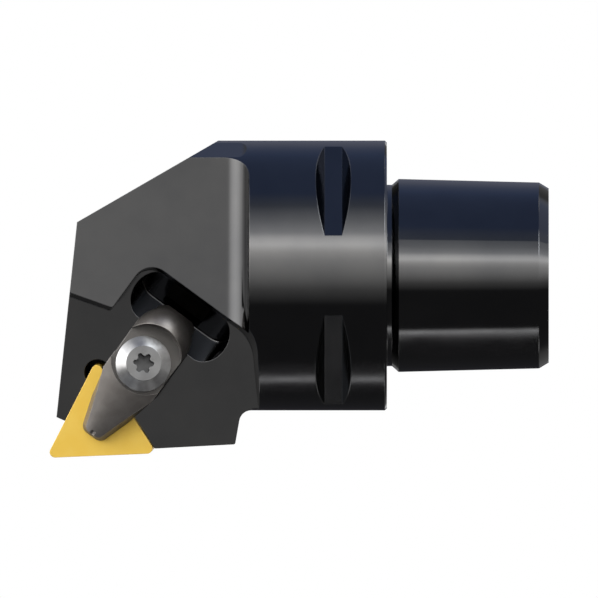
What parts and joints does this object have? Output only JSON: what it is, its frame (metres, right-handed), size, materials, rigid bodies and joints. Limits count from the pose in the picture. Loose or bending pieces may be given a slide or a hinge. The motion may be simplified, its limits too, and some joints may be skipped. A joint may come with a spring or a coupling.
{
  "type": "modular turning tool holder",
  "caption": "Black steel turning tool holder with a round flange and three-lobed taper shank; a clamp and screw hold a gold triangular insert on its slanted head.",
  "frame": {"origin": "on the tool axis in the gauge plane, where the flange's flat face meets the machine", "axes": "+Z along the tool axis from the shank to the cutting end, -Z down the shank; -X towards the side with the cutting corner, which is at X -27 mm, Z +50 mm; -Y out of the face with the insert and clamp. The tool stands upright on the flat end of its shank."},
  "size_m": [0.047, 0.04, 0.074],
  "materials": {
    "body_steel": "black oxide, satin",
    "insert_coating": "gold hard coating, satin",
    "shim_carbide": "ground carbide",
    "clamp_steel": "satin, slightly brown",
    "screw_steel": "bright",
    "spring_steel": "drawn wire"
  },
  "bodies": {
    "holder": {"holder_body": "body_steel", "insert": "insert_coating", "shim": "shim_carbide", "shim_screw": "screw_steel"},
    "clamp": {"clamp": "clamp_steel", "clamp_spring": "spring_steel"},
    "screw": {"clamp_screw": "screw_steel"}
  },
  "joints": [
    {"name": "clamp_lift", "type": "slide", "parent": "holder", "child": "clamp", "axis": [0.0605, -0.9972, -0.0443], "range_m": [0, 0.0032], "deforming": ["clamp_spring"]},
    {"name": "clamp_screw_turn", "type": "hinge", "parent": "clamp", "child": "screw", "pos_m": [-0.01339, -0.00287, 0.03634], "axis": [0.0605, -0.9972, -0.0443], "range_deg": [0, 1440]}
  ],
  "couplings": [
    {"joint": "clamp_screw_turn", "follows": "clamp_lift", "rad_per_m": 7854}
  ]
}
